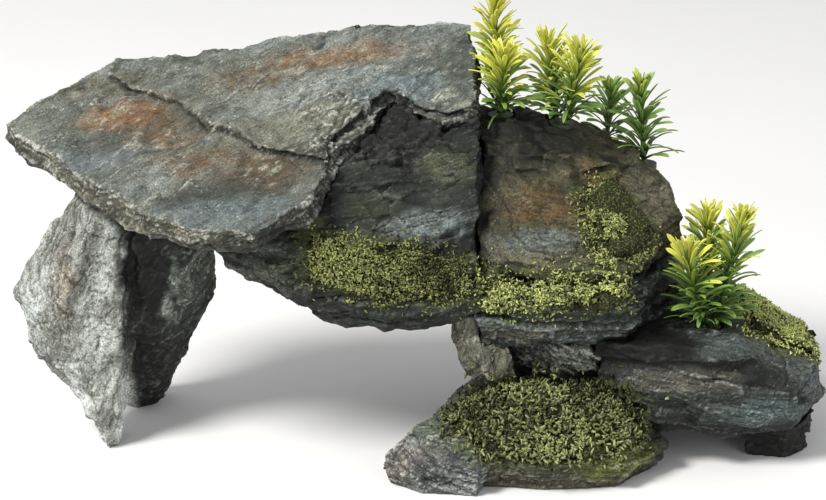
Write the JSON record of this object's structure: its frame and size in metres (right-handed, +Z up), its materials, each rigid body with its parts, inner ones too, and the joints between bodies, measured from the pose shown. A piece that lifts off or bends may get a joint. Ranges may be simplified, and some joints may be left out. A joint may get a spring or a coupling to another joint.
{
  "type": "aquarium cave ornament",
  "caption": "Rockwork cave for an aquarium: a tilted slate roof over an open arch, stacked boulders, moss and removable plants.",
  "frame": {"origin": "on the ground, in the middle of the ornament's box", "axes": "+X to the right seen from the front, +Y to the back, +Z up"},
  "size_m": [0.3045, 0.117, 0.1646],
  "materials": {
    "roof_slab": "matte",
    "left_leg": "matte",
    "bridge_block": "matte",
    "shoulder_boulder": "matte",
    "shoulder_ledge": "matte",
    "pillar_rock": "matte",
    "pillar_flake": "matte",
    "base_rock": "matte",
    "toe_rock": "matte",
    "right_slab": "matte",
    "right_foot": "matte",
    "moss": "matte",
    "plug": "satin",
    "stem": "satin",
    "leaf": "satin",
    "crown": "satin"
  },
  "bodies": {
    "rockwork": {"roof_slab": "roof_slab", "left_leg": "left_leg", "bridge_block": "bridge_block", "shoulder_boulder": "shoulder_boulder", "shoulder_ledge": "shoulder_ledge", "pillar_rock": "pillar_rock", "pillar_flake": "pillar_flake", "base_rock": "base_rock", "toe_rock": "toe_rock", "right_slab": "right_slab", "right_foot": "right_foot", "moss_bridge": "moss", "moss_ledge": "moss", "moss_ridge": "moss", "moss_base": "moss", "moss_slope": "moss"},
    "plant_a": {"plug_a": "plug", "stems_a": "stem", "leaves_a": "leaf", "crowns_a": "crown"},
    "plant_b": {"plug_b": "plug", "stems_b": "stem", "leaves_b": "leaf", "crowns_b": "crown"},
    "plant_c": {"plug_c": "plug", "stems_c": "stem", "leaves_c": "leaf", "crowns_c": "crown"},
    "plant_d": {"plug_d": "plug", "stems_d": "stem", "leaves_d": "leaf", "crowns_d": "crown"},
    "plant_e": {"plug_e": "plug", "stems_e": "stem", "leaves_e": "leaf", "crowns_e": "crown"}
  },
  "joints": [
    {"name": "pull_a", "type": "slide", "parent": "rockwork", "child": "plant_a", "axis": [0, 0, 1], "range_m": [0, 0.012]},
    {"name": "pull_b", "type": "slide", "parent": "rockwork", "child": "plant_b", "axis": [0, 0, 1], "range_m": [0, 0.012]},
    {"name": "pull_c", "type": "slide", "parent": "rockwork", "child": "plant_c", "axis": [0, 0, 1], "range_m": [0, 0.012]},
    {"name": "pull_d", "type": "slide", "parent": "rockwork", "child": "plant_d", "axis": [0, 0, 1], "range_m": [0, 0.012]},
    {"name": "pull_e", "type": "slide", "parent": "rockwork", "child": "plant_e", "axis": [0, 0, 1], "range_m": [0, 0.012]}
  ]
}
